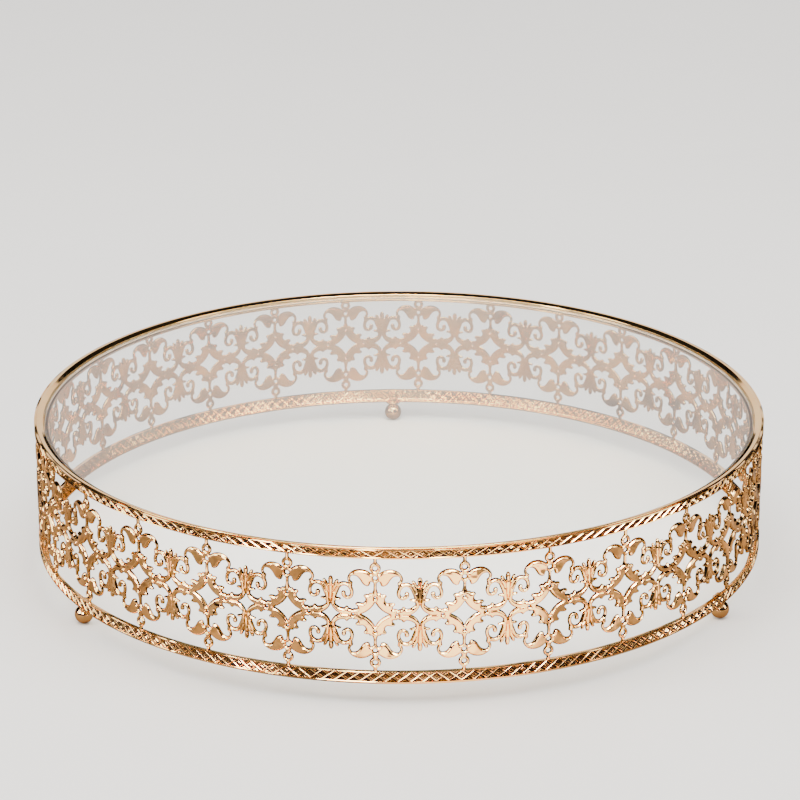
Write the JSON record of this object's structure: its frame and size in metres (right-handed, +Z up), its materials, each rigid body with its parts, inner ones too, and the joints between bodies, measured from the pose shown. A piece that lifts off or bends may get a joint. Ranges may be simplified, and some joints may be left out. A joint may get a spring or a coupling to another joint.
{
  "type": "cake stand",
  "caption": "Low round cake stand: a clear glass plate resting in a polished gold rim, above a pierced filigree wall on ball feet.",
  "frame": {"origin": "on the stand's vertical axis, at the bottom of the ball feet", "axes": "+Z up, square to the glass; -Y towards the front of the picture"},
  "size_m": [0.3999, 0.4, 0.0848],
  "materials": {
    "polished_gold": "mirror-polished gold plating",
    "cast_gold": "polished gold plating on cast relief",
    "lattice_gold": "gold plating, darker in the recesses",
    "clear_glass": "clear float glass, ground edge",
    "screw_gold": "gold-plated screw"
  },
  "bodies": {
    "frame": {"top_rim": "polished_gold", "top_lattice_band": "lattice_gold", "bottom_lattice_band": "lattice_gold", "base_hoop": "polished_gold", "wall_unit_01": "cast_gold", "wall_unit_02": "cast_gold", "wall_unit_03": "cast_gold", "wall_unit_04": "cast_gold", "wall_unit_05": "cast_gold", "wall_unit_06": "cast_gold", "wall_unit_07": "cast_gold", "wall_unit_08": "cast_gold", "wall_unit_09": "cast_gold", "wall_unit_10": "cast_gold", "wall_unit_11": "cast_gold", "wall_unit_12": "cast_gold", "wall_unit_13": "cast_gold", "wall_unit_14": "cast_gold", "wall_unit_15": "cast_gold", "wall_unit_16": "cast_gold", "wall_unit_17": "cast_gold", "wall_unit_18": "cast_gold", "wall_unit_19": "cast_gold", "wall_unit_20": "cast_gold", "wall_unit_21": "cast_gold", "wall_unit_22": "cast_gold", "wall_unit_23": "cast_gold", "wall_unit_24": "cast_gold", "wall_unit_25": "cast_gold", "wall_unit_26": "cast_gold", "wall_unit_27": "cast_gold", "wall_unit_28": "cast_gold", "foot_ball_1": "polished_gold", "foot_ball_2": "polished_gold", "foot_ball_3": "polished_gold", "foot_screws": "screw_gold"},
    "glass": {"glass_plate": "clear_glass"}
  },
  "joints": [
    {"name": "glass_lift", "type": "slide", "parent": "frame", "child": "glass", "axis": [0, 0, 1], "range_m": [0, 0.05]}
  ]
}
